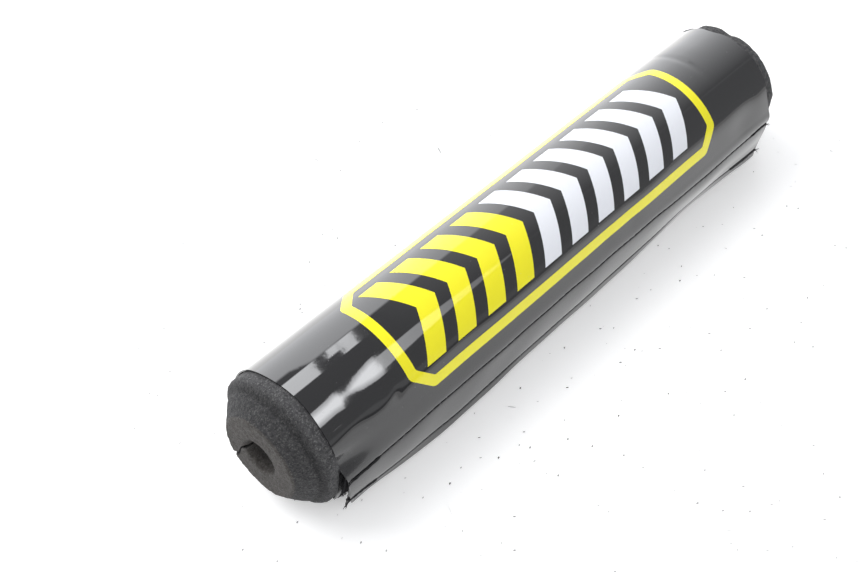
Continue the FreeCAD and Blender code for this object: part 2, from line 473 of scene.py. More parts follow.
class Graph:
    """Short calls for the nodes of one material."""

    def __init__(self, tree):
        self.nodes = tree.nodes
        self.links = tree.links
        self.place = self.nodes.new("ShaderNodeTexCoord").outputs["Object"]

    def node(self, kind, inputs=(), **settings):
        made = self.nodes.new("ShaderNode" + kind)
        for key, value in settings.items():
            setattr(made, key, value)
        for key, value in dict(inputs).items():
            if isinstance(value, bpy.types.NodeSocket):
                self.links.new(value, made.inputs[key])
            else:
                made.inputs[key].default_value = value
        return made

    def stretched(self, scale):
        return self.node("Mapping", {"Vector": self.place, "Scale": scale}).outputs[0]

    def noise(self, scale, detail=2.0, vector=None, roughness=0.5):
        inputs = {"Vector": vector or self.place, "Scale": scale, "Detail": detail,
                  "Roughness": roughness}
        return self.node("TexNoise", inputs).outputs["Fac"]

    def cells(self, scale):
        return self.node("TexVoronoi", {"Vector": self.place, "Scale": scale}).outputs

    def ramp(self, value, low, high, out_low=0.0, out_high=1.0):
        inputs = {"Value": value, "From Min": low, "From Max": high, "To Min": out_low,
                  "To Max": out_high}
        return self.node("MapRange", inputs).outputs["Result"]

    def math(self, operation, a, b=0.0):
        return self.node("Math", {0: a, 1: b}, operation=operation).outputs[0]

    def times(self, *values):
        return functools.reduce(lambda a, b: self.math("MULTIPLY", a, b), values)

    def plus(self, *values):
        return functools.reduce(lambda a, b: self.math("ADD", a, b), values)

    def mix(self, factor, a, b):
        return self.node("Mix", {0: factor, 6: a, 7: b}, data_type="RGBA").outputs[2]

    def bump(self, height, strength, distance, normal=None):
        inputs = {"Height": height, "Strength": strength, "Distance": distance}
        if normal is not None:
            inputs["Normal"] = normal
        return self.node("Bump", inputs).outputs["Normal"]

    def drive(self, socket, value):
        """Link a value to a socket of the material's own shader."""
        self.links.new(value, self.nodes["Principled BSDF"].inputs[socket])


def grey(value):
    return (value, value, value, 1.0)


VINYL_IOR = 1.7
INK_IOR = 1.5
RUBBED_X = (-0.094, -0.107)  # in metres: from where the gloss fades to where it is rubbed
RUBBED_Z = (0.013, 0.005)


def dusted(graph, colour):
    """A glossy sheet's colour with the fine dust and hairline scuffs of use on it."""
    specks = graph.ramp(graph.cells(420)["Distance"], 0.10, 0.04)
    patches = graph.ramp(graph.noise(60, 3), 0.50, 0.68)
    specks = graph.times(specks, patches)
    fine = graph.stretched((1.0, 14.0, 14.0))
    scuff = graph.ramp(graph.noise(95, 4, fine, 0.62), 0.675, 0.72)
    scuff = graph.times(scuff, graph.ramp(graph.noise(22, 2), 0.42, 0.62))
    worn = graph.mix(graph.times(specks, 0.32), colour, grey(0.5))
    return graph.mix(graph.times(scuff, 0.045), worn, grey(0.6)), scuff


def glossy_sheet(name, colour, roughness, ior=VINYL_IOR):
    """Vinyl or the ink on it: a gloss with a faint orange peel, rubbed at one end's low corner."""
    mat = material(name, colour, roughness, IOR=ior)
    graph = Graph(mat.node_tree)
    base, scuff = dusted(graph, (*colour, 1))
    graph.drive("Base Color", base)
    uneven = graph.ramp(graph.noise(35, 3), 0.3, 0.7, roughness * 0.75, roughness * 1.35)
    uneven = graph.plus(uneven, graph.times(scuff, 0.12))
    place = graph.node("SeparateXYZ", {0: graph.place}).outputs
    rubbed = graph.times(graph.ramp(place["X"], *RUBBED_X), graph.ramp(place["Z"], *RUBBED_Z))
    uneven = graph.plus(uneven, graph.times(rubbed, 0.22))
    graph.drive("Roughness", uneven)
    peel = graph.bump(graph.noise(700, 2), 0.006, 0.0002)
    slow = graph.bump(graph.noise(85, 2), 0.02, 0.0006, peel)
    graph.drive("Normal", slow)
    return mat


def foam_material():
    """Closed-cell foam: fine cells, pale grains here and there, browner where it was cut. Painted
    light lifts the bore's inside to the cut colour and the ridge from the shoulder in, and painted
    shade darkens the groove beside it.
    """
    mat = material(
        "foam", (0.05, 0.05, 0.052), 0.92, Specular_IOR_Level=0.25,
        Sheen_Weight=0.06, Sheen_Roughness=0.5,
    )
    graph = Graph(mat.node_tree)
    place = graph.node("SeparateXYZ", {0: graph.place}).outputs
    reach = graph.math("ABSOLUTE", place["X"])
    across = graph.node("CombineXYZ", {"Y": place["Y"], "Z": place["Z"]}).outputs[0]
    off_axis = graph.node("VectorMath", {0: across}, operation="LENGTH").outputs["Value"]
    cut = graph.ramp(reach, (HALF_FOAM - 0.75) * MM, (HALF_FOAM - 0.35) * MM)
    # Painted light: the bore's inside is given the cut end face's lighter, browner colour.
    painted_bore_light = graph.ramp(off_axis, (BORE_RADIUS + 1.6) * MM, (BORE_RADIUS + 0.8) * MM)
    cut = graph.math("MAXIMUM", cut, painted_bore_light)
    shoulder = HALF_FOAM - END_TAPER
    # Painted highlight: from the shoulder inwards, over the ridge, the foam's colour is painted up
    # to 1.75 times lighter.
    ridge = graph.ramp(reach, (shoulder + 1.0) * MM, (shoulder - 0.4) * MM, 1.0, 1.75)
    # Painted shade: in the groove 2 mm outside the shoulder, the colour is painted up to 35
    # percent darker.
    painted_groove_shade = graph.math("SUBTRACT", reach, (shoulder + 2.0) * MM)
    painted_groove_shade = graph.ramp(graph.math("ABSOLUTE", painted_groove_shade), 0.0012, 0.0003, 0.0, 0.35)
    painted_groove_shade = graph.math("SUBTRACT", 1.0, painted_groove_shade)
    ridge = graph.times(ridge, painted_groove_shade)
    cells = graph.cells(2600)
    shade = graph.node("SeparateColor", {0: cells["Color"]}).outputs[0]
    grains = graph.math("POWER", shade, 4.0)
    mottled = graph.ramp(graph.noise(900, 4), 0.30, 0.72)
    skin = graph.mix(mottled, (0.022, 0.022, 0.0235, 1), (0.052, 0.0515, 0.053, 1))
    face = graph.mix(mottled, (0.044, 0.040, 0.0375, 1), (0.078, 0.072, 0.067, 1))
    colour = graph.mix(cut, skin, face)
    colour = graph.mix(graph.times(grains, 0.38), colour, (0.17, 0.17, 0.165, 1))
    colour = graph.node("VectorMath", {0: colour, 3: ridge}, operation="SCALE").outputs["Vector"]
    graph.drive("Base Color", colour)
    pits = graph.bump(cells["Distance"], 0.55, 0.0004)
    rough = graph.bump(graph.noise(900, 5, roughness=0.65), 0.75, 0.0005, pits)
    graph.drive("Normal", rough)
    return mat


def thread_material(name, colour, roughness=0.62):
    """Twisted polyester thread: slanting strands along its run, painted lighter on their crests as
    painted highlight and darker between them as painted shade.
    """
    mat = material(name, colour, roughness, Specular_IOR_Level=0.3)
    graph = Graph(mat.node_tree)
    twist = graph.node(
        "TexWave", {"Vector": graph.place, "Scale": 900.0, "Distortion": 1.2},
        bands_direction="DIAGONAL",
    )
    # Painted highlight and shade: the thread's one black is painted 1.7 times lighter where the
    # twist's bump is high and 0.55 times as dark where it is low.
    dark = (*[c * 0.55 for c in colour], 1)
    light = (*[c * 1.7 for c in colour], 1)
    graph.drive("Base Color", graph.mix(twist.outputs["Fac"], dark, light))
    graph.drive("Normal", graph.bump(twist.outputs["Fac"], 0.6, 0.0001))
    return mat


def woven_material(name, colour, roughness):
    """The close weave of a tape's backing, with a little lint; its threads are painted lighter
    where they stand up and darker between them, as painted highlight and painted shade.
    """
    mat = material(name, colour, roughness, Specular_IOR_Level=0.3)
    graph = Graph(mat.node_tree)
    weft = graph.node("TexWave", {"Vector": graph.place, "Scale": 620.0}, bands_direction="X")
    warp = graph.node("TexWave", {"Vector": graph.place, "Scale": 620.0}, bands_direction="Z")
    weave = graph.times(weft.outputs["Fac"], warp.outputs["Fac"])
    lint = graph.ramp(graph.noise(800, 4), 0.62, 0.72)
    # Painted highlight and shade: the tape's one black is painted 1.8 times lighter where the
    # weave's bump is high and 0.6 times as dark where it is low.
    base = graph.mix(weave, (*[c * 0.6 for c in colour], 1), (*[c * 1.8 for c in colour], 1))
    base = graph.mix(graph.times(lint, 0.10), base, grey(0.3))
    graph.drive("Base Color", base)
    graph.drive("Normal", graph.bump(weave, 0.5, 0.00015))
    return mat


VINYL = glossy_sheet("vinyl_black", (0.0105, 0.0105, 0.0115), 0.03)
YELLOW = glossy_sheet("ink_yellow", (0.93, 0.855, 0.018), 0.035, INK_IOR)
WHITE = glossy_sheet("ink_white", (0.86, 0.88, 0.93), 0.035, INK_IOR)
FOAM = foam_material()
THREAD = thread_material("thread_black", (0.014, 0.014, 0.015))
HOOK = woven_material("hook_black", (0.02, 0.02, 0.022), 0.5)
LOOP = woven_material("loop_black", (0.022, 0.022, 0.024), 0.85)


# ---- the cover
S_SPLIT = -30.0              # behind the top, where the two pieces of the wrap meet


def cover_front():
    """The printed side: over the top, down to the bend line, and the closing flap."""
    fine = [(seam, 1.1, 0.14) for seam in S_SEAMS]
    s = stations(S_SPLIT, S_FLAP, 0.6, fine)[:, None]
    x = stations(-HALF_COVER, HALF_COVER, 0.55)[None, :]
    along, across = edge_pull(x, s)
    outer = cover_point(x + along, s + across)
    inner = cover_point(x + along, s + across, -SHEET, seams=False)
    sheet = closed_sheet("cover_front", outer, inner, VINYL)
    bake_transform(sheet)
    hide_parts("cover_sheet", "closing_flap")
    return sheet


def cover_back():
    """The rest of the wrap: the back, the underside, and the under edge behind the flap."""
    s = stations(S_UNDER, S_SPLIT, 0.8)[:, None]
    x = stations(-HALF_COVER, HALF_COVER, 1.1)[None, :]
    along, _ = edge_pull(x, s)
    outer = cover_point(x + along, s, seams=False)
    inner = cover_point(x + along, s, -SHEET, seams=False)
    sheet = closed_sheet("cover_back", outer, inner, VINYL)
    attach(sheet, "cover")
    return sheet


# ---- the print
INK = 0.05                   # how high the ink stands over the cover
INK_SINK = 0.03
PRINT_HALF = 81.5            # of its length along x
PRINT_MIDDLE = 7.6           # along s
PRINT_TALL = 24.9            # half of its height along s
BORDER = 3.7
BORDER_CUT = 8.0             # of its corners
CORNER_ROUND = 3.2


def ink_faces(x, s):
    """The top and the underside of a film of ink over a grid of places on the cover."""
    return cover_point(x, s, INK, seams=False), cover_point(x, s, -INK_SINK, seams=False)


def ink_loop(x, s):
    """Points and faces of a band of ink that closes on itself from its last row to its first."""
    top, under = ink_faces(x, s)
    rows, columns = x.shape
    count = rows * columns
    points = np.concatenate([top.reshape(-1, 3), under.reshape(-1, 3)])
    faces = grid_faces(rows, columns, round_rows=True)
    faces += grid_faces(rows, columns, count, flip=True, round_rows=True)
    for i in range(rows):
        a, b = i * columns, ((i + 1) % rows) * columns
        faces.append((b, a, a + count, b + count))
        a, b = a + columns - 1, b + columns - 1
        faces.append((a, b, b + count, a + count))
    return points, faces


def frame_loop(inset):
    """The border's outline, this far in from its outer edge: a rectangle with cut corners."""
    half, tall = PRINT_HALF - inset, PRINT_TALL - inset
    cut = BORDER_CUT - inset * (2 - math.sqrt(2))
    radius = CORNER_ROUND - inset * 0.45
    corners = np.array([
        (half, tall - cut), (half - cut, tall), (cut - half, tall), (-half, tall - cut),
        (-half, cut - tall), (cut - half, -tall), (half - cut, -tall), (half, cut - tall)])
    points = []
    for k, corner in enumerate(corners):
        before, after = corners[k - 1], corners[(k + 1) % 8]
        turn = rounded(before, corner, after, radius)
        chosen = [turn[int(t * (len(turn) - 1))] for t in np.linspace(0, 1, 7)]
        onward = rounded(corner, after, corners[(k + 2) % 8], radius)[0]
        steps = 190 if k in (1, 5) else 50 if k in (3, 7) else 8
        points += chosen
        points += [chosen[-1] + (onward - chosen[-1]) * t
                   for t in np.linspace(0, 1, steps, endpoint=False)[1:]]
    return np.array(points)


def print_border():
    loops = [frame_loop(BORDER * t) for t in np.linspace(0, 1, 7)]
    grid = np.stack(loops, 1)
    piece = ink_loop(grid[:, :, 0], PRINT_MIDDLE + grid[:, :, 1])
    border = join_pieces("printed_border", [piece], YELLOW)
    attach(border, "cover")
    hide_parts("print_border")


CHEVRONS = 10
YELLOW_CHEVRONS = 4
BAND = 8.5                   # of a chevron, along x
POINT = 9.0                  # how far its middle leads its ends
ROW_MARGIN = 8.1             # from the print's end to the row's
CHEVRON_TALL = 17.2          # half of its height along s


def chevron(number):
    """One arrowhead of the row, pointing along +X."""
    row = 2 * (PRINT_HALF - ROW_MARGIN)
    pitch = (row - BAND - POINT) / (CHEVRONS - 1)
    first = -row / 2 + number * pitch
    across = np.linspace(0, 1, 15)[None, :]
    height = np.linspace(-1, 1, 75)[:, None]
    x = first + BAND * across + POINT * (1 - np.abs(height))
    s = PRINT_MIDDLE + CHEVRON_TALL * height + 0 * across
    return walled(*ink_faces(x, s))


def print_chevrons():
    groups = (
        ("printed_yellow_chevrons", range(YELLOW_CHEVRONS), YELLOW, "yellow"),
        ("printed_white_chevrons", range(YELLOW_CHEVRONS, CHEVRONS), WHITE, "white"),
    )
    for name, numbers, ink, colour in groups:
        row = join_pieces(name, [chevron(number) for number in numbers], ink)
        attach(row, "cover")
        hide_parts("print_" + colour + "_chevrons")


# ---- the closure's inner layers
BACKING = 0.4
TAPE_REACH = 112.6           # along x from the middle
TAPE_CLEAR = 0.01            # between a tape and the sheet that it is sewn to
HOOK_LEAN = np.array([0, 0.05, 0.22, 0.42, 0.46])
HOOK_DEPTH = np.array([0.0, 0.34, 0.66, 0.62, 0.40])
HOOK_RADII = np.array([0.11, 0.1, 0.09, 0.08, 0.06])


def tape(kind, first, high, low, pieces, look, body):
    """A tape's backing from s = first on, between two heights off the cover, and its pile."""
    x = stations(-TAPE_REACH, TAPE_REACH, 1.5)[None, :]
    s = stations(first, first + TAPE_WIDTH, 1.0)[:, None]
    outer, inner = (cover_point(x, s, rise, seams=False) for rise in (high, low))
    strip = closed_sheet(kind + "_tape_backing", outer, inner, look)
    pile = join_pieces(kind + "_tape_" + kind + "s", pieces, look)
    for piece in (strip, pile):
        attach(piece, body)
    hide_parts(kind + "_tape")


def tape_hooks(x_step, s_step):
    """Small bent hooks all over the hook tape, pointing in at the loops."""
    pieces = []
    edge = 1.2
    first = S_HINGE + HINGE_MARGIN + edge
    for i in range(int((2 * TAPE_REACH - 2) / x_step)):
        for j in range(int((TAPE_WIDTH - 2) / s_step) + 1):
            x = edge - TAPE_REACH + i * x_step
            way = 1 if (i + j) % 2 else -1
            deep = HOOK_DEPTH + SHEET + BACKING - 0.04
            line = cover_line(x + HOOK_LEAN * way, np.full(5, first + j * s_step), -deep)
            pieces.append(tube(line, HOOK_RADII, 4))
    return pieces


S_LOOP_TAPE = s_at_up(TAPE_TOP, on_flap=False)


def tape_loops(count):
    """Soft loops of yarn standing off the loop tape, each its own size and lean."""
    draw = random.Random(7)
    pieces = []
    edge = 0.5
    for _ in range(count):
        x = draw.uniform(edge - TAPE_REACH, TAPE_REACH - edge)
        s = draw.uniform(S_LOOP_TAPE + edge, S_LOOP_TAPE + TAPE_WIDTH - edge)
        heading = draw.uniform(0, math.pi)
        span = draw.uniform(0.25, 0.6)
        rise = draw.uniform(0.45, 0.74)
        t = np.linspace(0, 1, 6)
        dx = (t - 0.5) * span * math.cos(heading)
        ds = (t - 0.5) * span * math.sin(heading)
        up = np.sin(np.pi * t) * rise + BACKING - 0.03
        pieces.append(tube(cover_line(x + dx, s + ds, up), 0.045, 3))
    return pieces


# ---- seams
THREAD_RADIUS = 0.26
SEAM_END = 2.2               # from the cover's edge to a seam's first and last stitch
LAP_END = 2.4                # and to the stitches that are sewn over the seam


def seam_line(row, body, level, face, dip):
    """A thread's run along one face: it lies on the face and dips in at each stitch hole."""
    x = np.arange(-HALF_COVER + SEAM_END, HALF_COVER - SEAM_END, STITCH / 10)
    hole = np.abs(np.cos(np.pi * x / STITCH + SEAM_PHASE * row)) ** 10
    s = seam_run(x, row)
    if body == "cover":
        s = s_at_up(SEAM_UPS[row], on_flap=False) + S_SEAMS[row] - s
    return cover_line(x, s, level + face * (THREAD_RADIUS * 0.55 - dip * hole))


def seam_threads():
    """Needle and bobbin thread of the four seams: two through the flap, two through the loops."""
    # node, body, height off the cover's outer face, way out, dip at a stitch hole
    runs = (
        ("flap_needle_thread", "flap", -0.38, 1, 0.5),
        ("flap_bobbin_thread", "flap", -SHEET - BACKING, -1, 0.2),
        ("loop_needle_thread", "cover", BACKING, 1, 0.2),
        ("loop_bobbin_thread", "cover", -SHEET, -1, 0.2),
    )
    for row, place in enumerate(("upper", "lower")):
        for name, body, level, face, dip in runs:
            line = seam_line(row, body, level, face, dip)
            node = name + "_" + place
            thread = join_pieces(node + "_run", [tube(line, THREAD_RADIUS)], THREAD)
            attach(thread, body)
            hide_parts(node)


def strand(points, radius):
    """A loose thread end through a few points, tapering to a frayed tip."""
    points = np.array(points, float)
    t = np.linspace(0, len(points) - 1, len(points) * 5)
    line = np.stack([np.interp(t, range(len(points)), points[:, k]) for k in range(3)], 1)
    kernel = np.array([1, 2, 3, 2, 1]) / 9
    padded = np.concatenate([line[:1].repeat(2, 0), line, line[-1:].repeat(2, 0)])
    line = np.stack([np.convolve(padded[:, k], kernel, "valid") for k in range(3)], 1)
    return tube(line, np.linspace(radius, radius * 0.45, len(line)), 5)


def seam_place(x, row, rise=0.15):
    """One point over a seam."""
    x = np.array(float(x))
    return cover_point(x, seam_run(x, row), rise, seams=False)


def thread_ends():
    """Where each seam stops: it is sewn over itself, and its cut ends stick out."""
    draw = random.Random(3)
    pieces = []
    # where a seam is sewn over itself: end, length, row, how many times
    laps = ((-1, 12.5, 1, 4), (-1, 12.0, 0, 2), (1, 16.0, 1, 4), (1, 10.0, 0, 1))
    for side, length, row, count in laps:
        edge = side * (HALF_COVER - LAP_END)
        for lap in range(count):
            x = np.arange(edge, edge - side * length, -side * 0.33)
            wobble = np.cumsum([draw.uniform(-0.12, 0.12) for _ in x])
            wobble = wobble - np.linspace(0, wobble[-1], len(x))
            s = seam_run(x, row) + wobble + (lap - count / 2) * 0.42
            rise = 0.02 + 0.12 * np.abs(np.sin(x * 1.1 + lap))
            pieces.append(tube(cover_line(x, s, rise), 0.2, 5))
    # its cut ends: end, row, how many
    for side, row, count in ((-1, 0, 2), (-1, 1, 7), (1, 0, 3), (1, 1, 5)):
        root = seam_place(side * (HALF_COVER - LAP_END), row)
        for _ in range(count):
            reach = draw.uniform(1.2, 3.0)
            drop = draw.uniform(-2.4, 0.2)
            out = draw.uniform(-0.7, 0.4)
            middle = root + np.array([side * reach * 0.55, out * 0.4, drop * 0.3])
            tip = root + np.array([side * reach, out, drop])
            pieces.append(strand([root - [side * 0.8, 0, 0], root, middle, tip], 0.2))
    fuzz = [(draw.uniform(-112, -101), 1) for _ in range(16)]
    fuzz += [(draw.uniform(97, 112), 1) for _ in range(20)]
    for x, row in fuzz:
        root = seam_place(x, row, 0.1)
        tip = root + np.array([draw.uniform(-0.9, 0.9), draw.uniform(-0.7, -0.2),
                               draw.uniform(-0.8, 0.6)])
        pieces.append(strand([root, (root + tip) / 2 + [0.1, -0.1, 0], tip], 0.06))
    ends = join_pieces("thread_ends", pieces, THREAD)
    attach(ends, "flap")


# ---- the foam core
FOAM_FINE = 0.42             # between the points of an end's profile
FOAM_COLUMNS = 400
GROOVE = 0.8                 # deep, round each end just outside the shoulder


def foam_half_profile():
    """The outside of one end, (x, r), from the bore's mouth out and back to mid-length."""
    mouth = np.array([HALF_FOAM, BORE_RADIUS])
    tip = np.array([HALF_FOAM, FACE_RADIUS])
    shoulder = np.array([HALF_FOAM - END_TAPER, FOAM_RADIUS])
    inside = np.array([HALF_FOAM - 8, BORE_RADIUS])
    lip = rounded(inside, mouth, tip, 1.5)
    edge = rounded(mouth, tip, shoulder, 0.8)
    ridge = rounded(tip, shoulder, np.array([0.0, FOAM_RADIUS]), 2.0)
    points = lip + straight(lip[-1], edge[0])[1:] + edge
    points += straight(edge[-1], ridge[0])[1:] + ridge
    points += straight(ridge[-1], np.array([HALF_COVER - 3.5, FOAM_RADIUS]))[1:]
    fine, _ = resample(np.array(points), FOAM_FINE)
    fine[:, 1] -= GROOVE * bell(fine[:, 0], HALF_FOAM - END_TAPER + 2.0, 1.0) * (fine[:, 1] > 15)
    coarse = [[x, FOAM_RADIUS] for x in np.linspace(HALF_COVER - 4, 0, 48)]
    return np.concatenate([fine, coarse])


def foam_profile():
    """The closed outline of the foam's section along the bore: outside, then back inside."""
    half = foam_half_profile()
    other = half[::-1][1:] * [-1, 1]
    bore = np.concatenate([
        np.linspace(-HALF_FOAM + 1.9, -HALF_FOAM + 14, 18),
        np.linspace(-HALF_FOAM + 20, HALF_FOAM - 20, 18),
        np.linspace(HALF_FOAM - 14, HALF_FOAM - 1.9, 18),
    ])
    inside = np.stack([bore, np.full(len(bore), BORE_RADIUS)], 1)
    return np.concatenate([half, other, inside])


def foam_lumps(points, outward):
    """Points moved along their own way out by the small unevenness of cut foam."""
    moved = points.copy()
    shoulder = HALF_FOAM - END_TAPER
    for k, (point, way) in enumerate(zip(points, outward)):
        if abs(point[0]) < HALF_COVER - 3:
            continue
        place = Vector(point)
        grain = noise.noise(place * 1.1) * 0.11 + noise.noise(place * 0.42) * 0.16
        swell = noise.noise(place * 0.11) * (0.3 if abs(point[0]) > shoulder else 0.1)
        moved[k] = point + way * (grain + swell)
    return moved


def foam_core():
    """The foam, split at its slit, swollen past the cover's far edge and pressed under it."""
    profile = foam_profile()
    slope = np.roll(profile, -1, 0) - np.roll(profile, 1, 0)
    slope /= np.linalg.norm(slope, axis=1)[:, None]
    x, r = profile[:, 0], profile[:, 1]
    facing = np.stack([slope[:, 1], -slope[:, 0]], 1)
    # the slit opens at the ends: at the face's rim and at the bore's mouth, and runs askew
    notch = 0.5 * smoothstep(r, 9.5, FACE_RADIUS) + 0.45 * (1 - smoothstep(r, 6.5, 9.0))
    notch = notch * smoothstep(np.abs(x), 124, HALF_FOAM)
    gap = np.degrees(np.arcsin((SLIT_WIDTH / 2 + notch) / r))
    skew = -28 * (1 - smoothstep(r, BORE_RADIUS, 13)) * smoothstep(np.abs(x), 110, HALF_FOAM)
    turns = np.linspace(0, 1, FOAM_COLUMNS)
    angle = SLIT_TURN + gap[:, None] + (360 - 2 * gap[:, None]) * turns[None, :]
    angle = angle - skew[:, None]
    turn = np.radians(angle)
    arc = ((angle + 180) % 360 - 180) * math.pi / 180 * COVER_RADIUS
    # the far end swells past the cover's edge, and less where the cover's folds hold it
    under_cover = smoothstep(r, 15, 22)[:, None]
    bulge = 0.5 - 1.2 * bell(arc, 0, 3.2) - 1.1 * bell(arc, -16, 2.8)
    swelling = bulge * smoothstep(x, HALF_COVER - 2, HALF_COVER + 2)[:, None] * under_cover
    # under the cover it gives way to the sheet's dents, and where the wrap pulls on it
    bare = smoothstep(np.abs(x), HALF_COVER - 4, HALF_COVER + 1)[:, None]
    dented = np.minimum(lie(x[:, None], np.clip(arc, -50, 36)), 0)
    pressed = 2.4 * bell(arc, 33.5, 5.0) + 1.3 * bell(arc, 53.5, 5.0)
    dented = (dented - pressed) * under_cover * (1 - bare)
    radius = r[:, None] + dented + swelling
    lift = np.stack([np.zeros_like(turn), -np.sin(turn), np.cos(turn)], -1)
    points = lift * radius[..., None]
    points[..., 0] = x[:, None]
    # and the closure presses a flat along its side
    out = points[..., 1] * OUTWARD[0] + points[..., 2] * OUTWARD[1]
    flat = FOAM_RADIUS - PRESS_DEPTH + 0.4 * bare - 1.3 * (1 - bare)
    over = np.maximum(out - flat, 0)
    points[..., 1] -= over * OUTWARD[0]
    points[..., 2] -= over * OUTWARD[1]
    way = lift * facing[:, 1][:, None, None]
    way[..., 0] = facing[:, 0][:, None]
    rows = len(profile)
    flat_points = foam_lumps(points.reshape(-1, 3), way.reshape(-1, 3))
    faces = grid_faces(rows, FOAM_COLUMNS, flip=True, round_rows=True)
    faces.append(tuple(i * FOAM_COLUMNS for i in range(rows)))
    faces.append(tuple(i * FOAM_COLUMNS + FOAM_COLUMNS - 1 for i in range(rows - 1, -1, -1)))
    core = new_mesh("foam_core_cut", flat_points, faces, FOAM, crease=50)
    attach(core, "core")
    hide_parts("foam_core")


# ---- studio
def dust(graph, length, width, turn, share):
    """Specks or short fibres strewn on the floor: 1 on the darkest of them, 0 beside them."""
    laid = graph.node(
        "Mapping",
        {"Vector": graph.place, "Rotation": (0, 0, turn), "Scale": (length, width, 1.0)},
        vector_type="TEXTURE",
    ).outputs[0]
    found = graph.node(
        "TexVoronoi", {"Vector": laid, "Scale": 1.0}, voronoi_dimensions="2D"
    ).outputs
    chance = graph.node("SeparateColor", {0: found["Color"]}).outputs[0]
    dark = graph.math("POWER", graph.ramp(chance, 1.0 - share, 1.0), 2.6)
    return graph.times(graph.ramp(found["Distance"], 0.08, 0.05), dark)


def floor():
    """A pale floor with some dust and a painted glow where the camera and reflections see it: a
    little glow near the pad, more in reflections towards +x and beside the pad, three times as
    bright in reflections behind the pad, and burnt out to white away from it.
    """
    size = 4.0
    mesh = bpy.data.meshes.new("floor")
    level = CAD_BOX[0][2] - 0.0001
    mesh.from_pydata(
        [(-size, -size, level), (size, -size, level), (size, size, level), (-size, size, level)],
        [], [(0, 1, 2, 3)],
    )
    mat = bpy.data.materials.new("floor_white")
    mat.use_nodes = True
    tree = mat.node_tree
    graph = Graph(tree)
    tree.nodes.remove(tree.nodes["Principled BSDF"])
    path = graph.node("LightPath").outputs
    place = graph.node("SeparateXYZ", {0: graph.place}).outputs
    across = place["Y"]
    away = graph.node("VectorMath", {0: graph.place}, operation="LENGTH").outputs["Value"]
    card = graph.node("BsdfDiffuse", {"Color": grey(0.86)})
    glossy = path["Is Glossy Ray"]
    seen = graph.math("MAXIMUM", path["Is Camera Ray"], glossy)
    beside = graph.ramp(place["X"], 0.02, 0.12, 0.16, 0.0)
    beside = graph.times(graph.ramp(across, -0.055, -0.030), beside)
    more = graph.plus(graph.ramp(place["X"], -0.04, 0.14, -0.03, 0.42), beside)
    # Painted glow: where the camera and reflections see it, the floor shines by itself, a little
    # near the pad, more in reflections towards +x and beside the pad.
    lift = graph.times(seen, graph.plus(0.32, graph.times(more, glossy)))
    lifted = graph.node("Emission", {"Color": grey(1.0), "Strength": lift})
    near = graph.node("AddShader", {0: card.outputs[0], 1: lifted.outputs[0]})
    # Painted glow: in reflections, the floor behind the pad glows three times as bright.
    behind = graph.times(graph.ramp(across, 0.01, 0.07), glossy)
    fade = graph.math("MAXIMUM", graph.ramp(away, 0.22, 0.75), behind)
    strength = graph.plus(graph.times(behind, 2.0), 1.0)
    glow = graph.node("Emission", {"Color": grey(1.0), "Strength": strength})
    far = graph.times(fade, seen)
    clean = graph.node("MixShader", {0: far, 1: near.outputs[0], 2: glow.outputs[0]})
    shown = dust(graph, 0.0075, 0.0045, 0.4, 0.30)
    for length, width, turn, share in (
        (0.004, 0.008, 0.9, 0.25), (0.040, 0.0034, 1.1, 0.03), (0.024, 0.0034, 2.2, 0.04)
    ):
        shown = graph.math("MAXIMUM", shown, dust(graph, length, width, turn, share))
    shown = graph.times(shown, path["Is Camera Ray"])
    shown = graph.times(shown, graph.ramp(away, 0.10, 0.24, 1.0, 0.25))
    speck = graph.node("BsdfDiffuse", {"Color": grey(0.12)})
    strewn = graph.node("MixShader", {0: shown, 1: clean.outputs[0], 2: speck.outputs[0]})
    tree.links.new(strewn.outputs[0], tree.nodes["Material Output"].inputs["Surface"])
    mesh.materials.append(mat)
    placed("floor", mesh)


